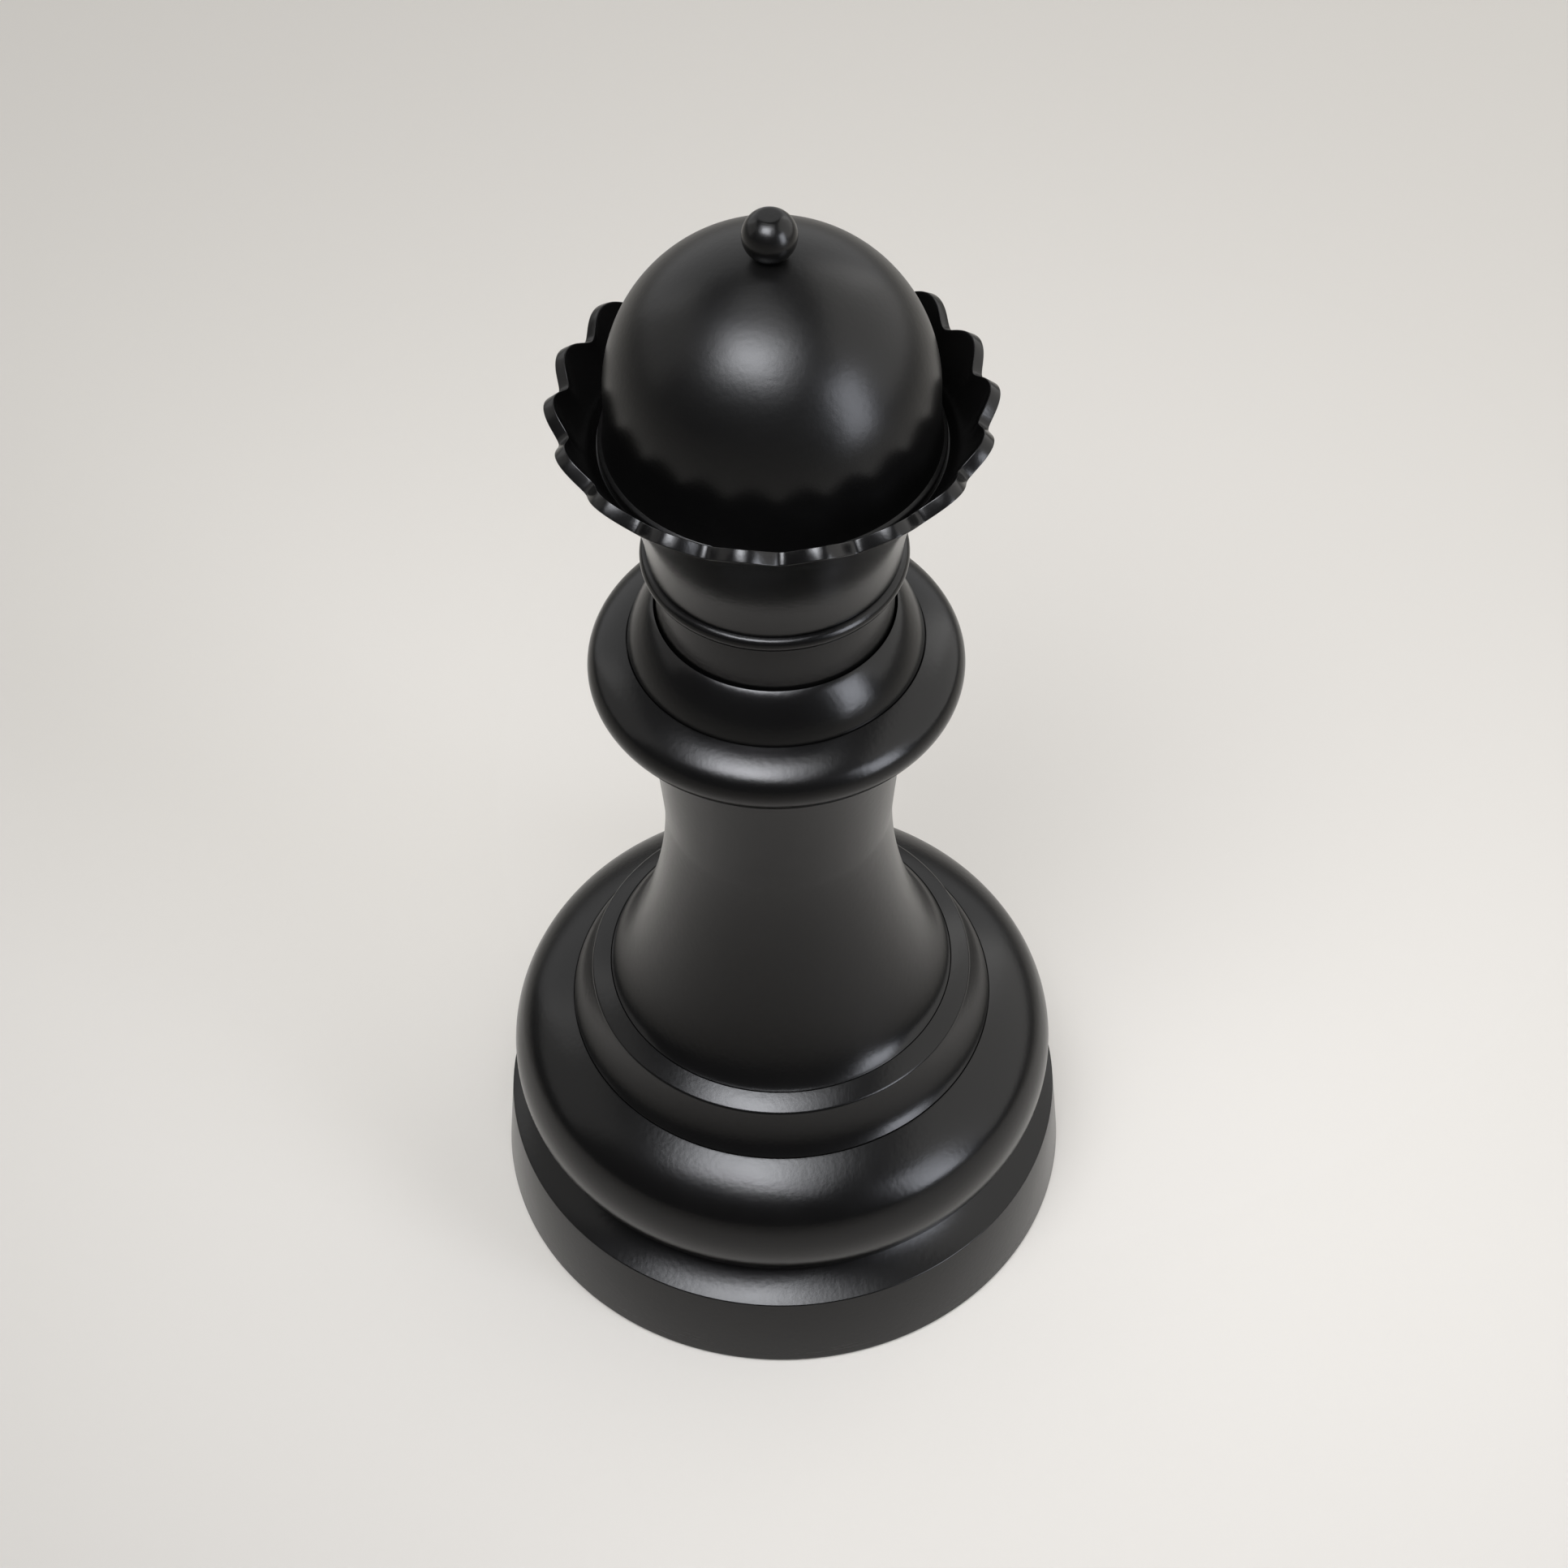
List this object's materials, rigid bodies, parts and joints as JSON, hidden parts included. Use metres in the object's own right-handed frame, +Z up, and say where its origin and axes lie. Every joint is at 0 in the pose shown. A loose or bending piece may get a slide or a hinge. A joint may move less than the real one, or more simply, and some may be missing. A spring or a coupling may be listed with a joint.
{
  "type": "giant chess piece",
  "caption": "Giant lawn chess queen in black plastic: ball-topped dome in a scalloped coronet, waisted stem and wide plinth, in lift-off sections with a ballast plug.",
  "frame": {"origin": "on the ground under the middle of the foot", "axes": "+Z up along the axis that every section is turned about; the picture looks along +Y from above"},
  "size_m": [0.27, 0.27, 0.576],
  "materials": {
    "black_plastic": "satin black moulded plastic",
    "plug_plastic": "matt black moulded plastic",
    "gasket_rubber": "black rubber",
    "zinc_steel": "zinc-plated steel"
  },
  "bodies": {
    "base": {"plinth": "black_plastic", "base_plate": "black_plastic", "base_screw_1": "zinc_steel", "base_screw_2": "zinc_steel", "base_screw_3": "zinc_steel", "base_screw_4": "zinc_steel", "base_screw_5": "zinc_steel", "base_screw_6": "zinc_steel", "base_bulb": "black_plastic", "shoulder_band": "black_plastic"},
    "gasket": {"plug_gasket": "gasket_rubber"},
    "plug": {"fill_plug": "plug_plastic"},
    "stem": {"stem": "black_plastic", "collar_ring": "black_plastic", "collar_cap": "black_plastic"},
    "head": {"neck_sleeve": "black_plastic", "neck_ring": "black_plastic", "coronet": "black_plastic"},
    "dome": {"crown_dome": "black_plastic", "finial": "black_plastic"}
  },
  "joints": [
    {"name": "plug_travel", "type": "slide", "parent": "base", "child": "gasket", "axis": [0, 0, -1], "range_m": [0, 0.0076]},
    {"name": "plug_turn", "type": "hinge", "parent": "gasket", "child": "plug", "pos_m": [0, 0, 0.0157], "axis": [0, 0, -1], "range_deg": [0, 1080]},
    {"name": "stem_lift", "type": "slide", "parent": "base", "child": "stem", "axis": [0, 0, 1], "range_m": [0, 0.045]},
    {"name": "head_lift", "type": "slide", "parent": "stem", "child": "head", "axis": [0, 0, 1], "range_m": [0, 0.045]},
    {"name": "dome_lift", "type": "slide", "parent": "head", "child": "dome", "axis": [0, 0, 1], "range_m": [0, 0.03]}
  ],
  "couplings": [
    {"joint": "plug_travel", "follows": "plug_turn", "m_per_rad": 0.00039789}
  ]
}
